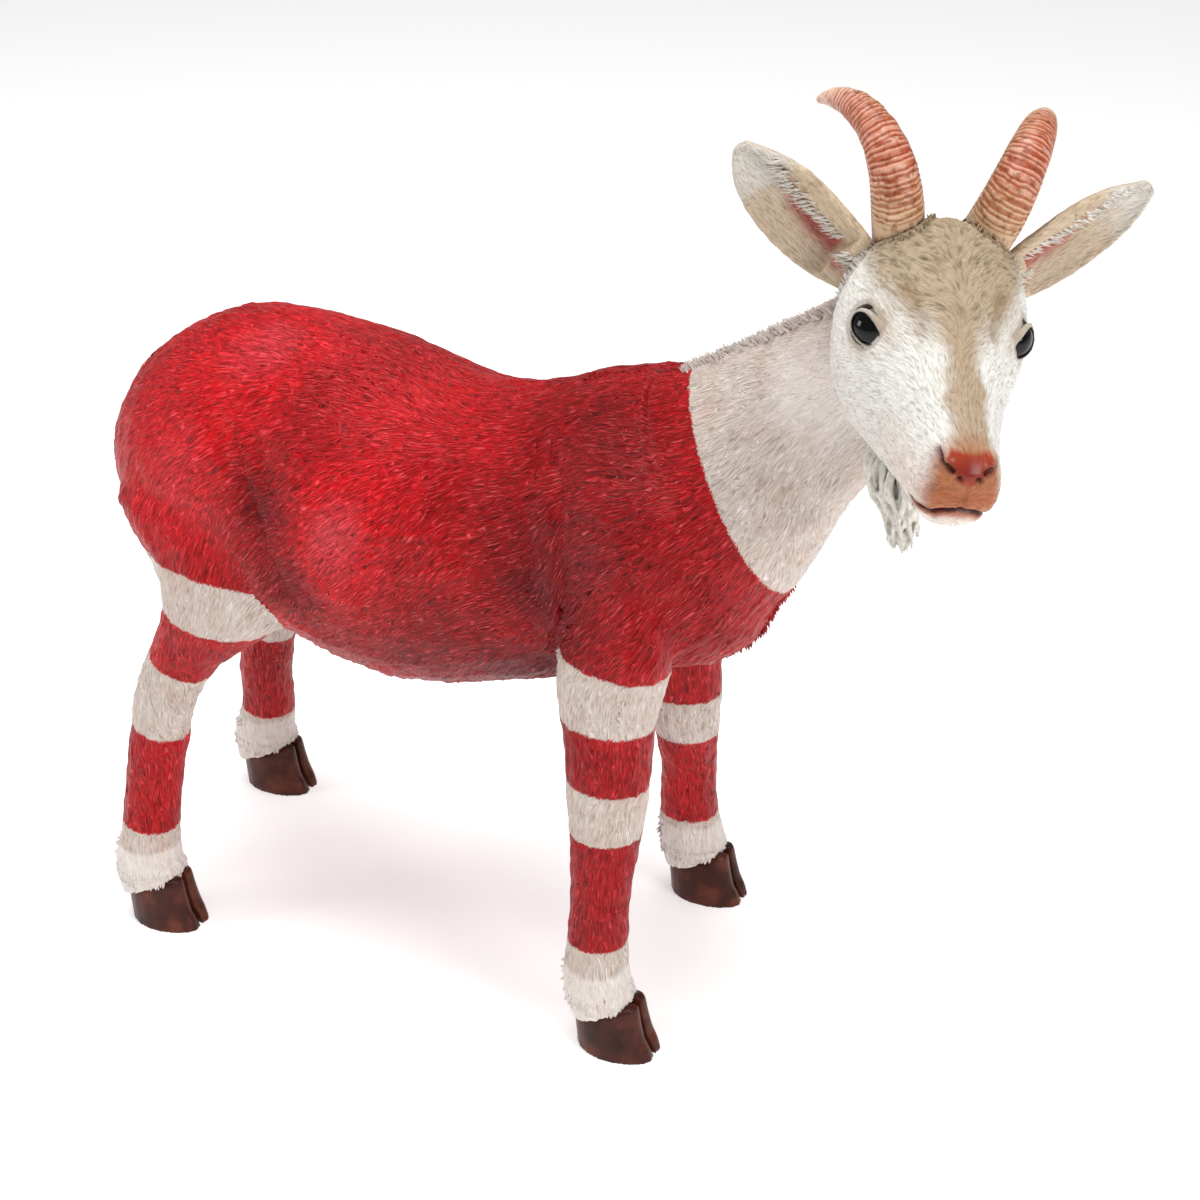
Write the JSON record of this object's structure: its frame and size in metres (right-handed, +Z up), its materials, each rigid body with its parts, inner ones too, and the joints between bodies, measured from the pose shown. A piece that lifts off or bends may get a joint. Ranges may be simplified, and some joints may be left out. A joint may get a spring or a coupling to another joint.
{
  "type": "standing goat statue",
  "caption": "Life-size goat figure that stands on its own hooves, with its head turned to its right, as a seasonal display piece.",
  "frame": {"origin": "on the ground under the middle of the statue's box", "axes": "+X towards the chest, +Y towards the goat's left, +Z up"},
  "size_m": [0.838, 0.3264, 0.7764],
  "materials": {
    "red_paint": "satin rich red paint over cast resin with carved hair",
    "white_paint": "satin cream-white paint over cast resin with carved hair",
    "face_paint": "tan and white airbrushed paint over cast resin with carved hair",
    "horn_paint": "tan resin with a terracotta wash in the rings",
    "hoof_paint": "smooth dark red-brown satin paint",
    "eye_glass": "glossy dark brown glass ball with a black pupil",
    "laminate": "raw glass-fibre laminate",
    "steel_rod": "plain steel bar"
  },
  "bodies": {
    "root": {"torso_shell_right": "red_paint", "torso_shell_left": "red_paint", "neck_shell": "white_paint", "head_shell": "face_paint", "right_horn": "horn_paint", "left_horn": "horn_paint", "right_ear": "face_paint", "left_ear": "face_paint", "right_eye": "eye_glass", "left_eye": "eye_glass", "beard": "white_paint", "tail": "red_paint", "front_right_leg": "red_paint", "front_left_leg": "red_paint", "hind_right_leg": "red_paint", "hind_left_leg": "red_paint", "front_right_hoof": "hoof_paint", "front_left_hoof": "hoof_paint", "hind_right_hoof": "hoof_paint", "hind_left_hoof": "hoof_paint", "front_right_rod": "steel_rod", "front_left_rod": "steel_rod", "hind_right_rod": "steel_rod", "hind_left_rod": "steel_rod", "neck_joint_collar": "laminate", "torso_seam_tape": "laminate"}
  },
  "joints": []
}
